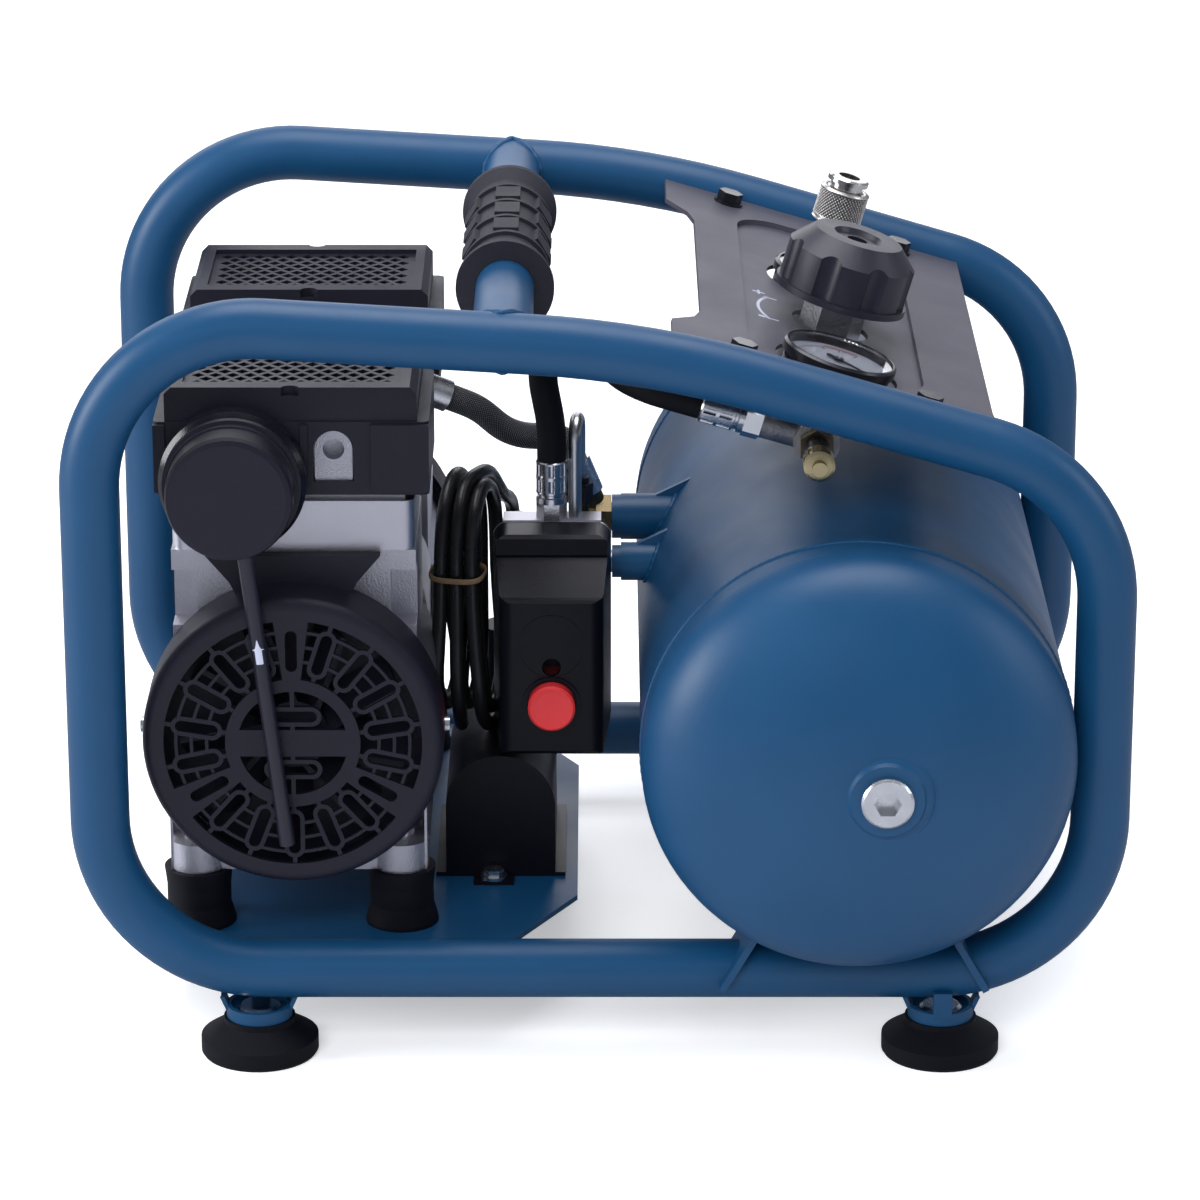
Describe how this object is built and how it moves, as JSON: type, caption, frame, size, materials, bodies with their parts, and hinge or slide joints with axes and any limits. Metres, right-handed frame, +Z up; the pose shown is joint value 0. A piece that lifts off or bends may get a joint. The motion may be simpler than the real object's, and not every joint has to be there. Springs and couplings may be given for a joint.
{
  "type": "air compressor",
  "caption": "Portable oil-free air compressor: horizontal tank and piston pump motor in a tubular roll-bar frame with gripped handle, sloping regulator panel and round rubber feet.",
  "frame": {"origin": "floor level, under the middle of the roll-bar frame", "axes": "+Z up; X across the machine from the pump on the left (-X) to the tank on the right (+X); Y along the tank from its front end (-Y, the side with the pressure switch button and safety valve) to its rear end"},
  "size_m": [0.4546, 0.4546, 0.3418],
  "materials": {
    "painted_steel_blue": "satin powder coat",
    "painted_steel_dark": "satin powder coat, near black",
    "black_plastic": "fine moulded texture",
    "black_rubber": "dull moulded rubber",
    "cast_aluminium": "shot-blasted casting",
    "zinc_steel": "bright zinc plate",
    "dark_steel": "black oxide",
    "lamination_steel": "bare stacked laminations",
    "iron": "raw casting",
    "brass": "turned brass",
    "copper_windings": "enamelled copper",
    "red_plastic": "moulded red",
    "dial_white": "printed dial",
    "clear_glass": "clear",
    "cord_black": "satin cable sheath"
  },
  "bodies": {
    "frame": {"roll_bar_front": "painted_steel_blue", "roll_bar_rear": "painted_steel_blue", "handle_tube": "painted_steel_blue", "welded_brackets": "painted_steel_blue", "base_plate": "painted_steel_blue", "tank_shell": "painted_steel_blue", "tank_heads": "painted_steel_blue", "control_panel": "painted_steel_dark", "fan_covers": "black_plastic", "head_hood_front": "black_plastic", "head_hood_rear": "black_plastic", "air_filter_base": "black_plastic", "air_filter_cap": "black_plastic", "intake_tube": "black_plastic", "pressure_switch_cover": "black_plastic", "capacitor_cover": "black_plastic", "black_glands": "black_plastic", "handle_grip": "black_rubber", "rubber_feet": "black_rubber", "rubber_mounts": "black_rubber", "rubber_hose": "black_rubber", "crankcases": "cast_aluminium", "cylinders": "cast_aluminium", "cylinder_heads": "cast_aluminium", "cross_pipe": "cast_aluminium", "pressure_switch_base": "cast_aluminium", "capacitor": "cast_aluminium", "unloader_tube": "cast_aluminium", "zinc_screws": "zinc_steel", "tank_plugs": "zinc_steel", "line_fittings": "zinc_steel", "braided_hose": "zinc_steel", "coupler_body": "zinc_steel", "valve_plates": "zinc_steel", "main_bearings": "zinc_steel", "regulator_manifold": "zinc_steel", "panel_screws": "dark_steel", "gauge_cases": "dark_steel", "stator_core": "lamination_steel", "check_valve": "brass", "safety_valve": "brass", "drain_cock": "brass", "motor_windings": "copper_windings", "gauge_dials": "dial_white", "gauge_lenses": "clear_glass", "cord_coil": "cord_black", "power_cord": "cord_black", "power_plug": "cord_black"},
    "rotor": {"motor_shaft": "zinc_steel", "rotor_core": "lamination_steel", "eccentrics": "iron", "fans": "black_plastic"},
    "piston_a": {"piston_front": "cast_aluminium"},
    "piston_b": {"piston_rear": "cast_aluminium"},
    "knob": {"regulator_knob": "black_plastic"},
    "sleeve": {"coupler_sleeve": "zinc_steel"},
    "tank_needle": {"tank_gauge_needle": "dark_steel"},
    "outlet_needle": {"outlet_gauge_needle": "dark_steel"},
    "button": {"switch_button": "red_plastic"},
    "drain": {"drain_knob": "black_plastic"}
  },
  "joints": [
    {"name": "rotor_spin", "type": "hinge", "parent": "frame", "child": "rotor", "pos_m": [-0.1315, 0, 0.141], "axis": [0, 1, 0], "continuous": true},
    {"name": "piston_front_stroke", "type": "slide", "parent": "frame", "child": "piston_a", "axis": [0, 0, 1], "range_m": [-0.013, 0]},
    {"name": "piston_rear_stroke", "type": "slide", "parent": "frame", "child": "piston_b", "axis": [0, 0, 1], "range_m": [0, 0.013]},
    {"name": "regulator_turn", "type": "hinge", "parent": "frame", "child": "knob", "pos_m": [0.10492, -0.03, 0.30724], "axis": [0.2828, 0, 0.9592], "range_deg": [-360, 360]},
    {"name": "sleeve_pull", "type": "slide", "parent": "frame", "child": "sleeve", "axis": [-0.2828, 0, -0.9592], "range_m": [0, 0.004], "stiffness_N_per_m": 600, "springref_m": -0.004},
    {"name": "tank_gauge_sweep", "type": "hinge", "parent": "frame", "child": "tank_needle", "pos_m": [0.10167, -0.095, 0.29621], "axis": [-0.2828, 0, -0.9592], "range_deg": [0, 260]},
    {"name": "outlet_gauge_sweep", "type": "hinge", "parent": "frame", "child": "outlet_needle", "pos_m": [0.10167, 0.032, 0.29621], "axis": [-0.2828, 0, -0.9592], "range_deg": [0, 260]},
    {"name": "button_push", "type": "slide", "parent": "frame", "child": "button", "axis": [0, 1, 0], "range_m": [0, 0.006]},
    {"name": "drain_turn", "type": "hinge", "parent": "frame", "child": "drain", "pos_m": [0.1095, 0, 0.03], "axis": [0, 0, 1], "range_deg": [0, 360]}
  ]
}
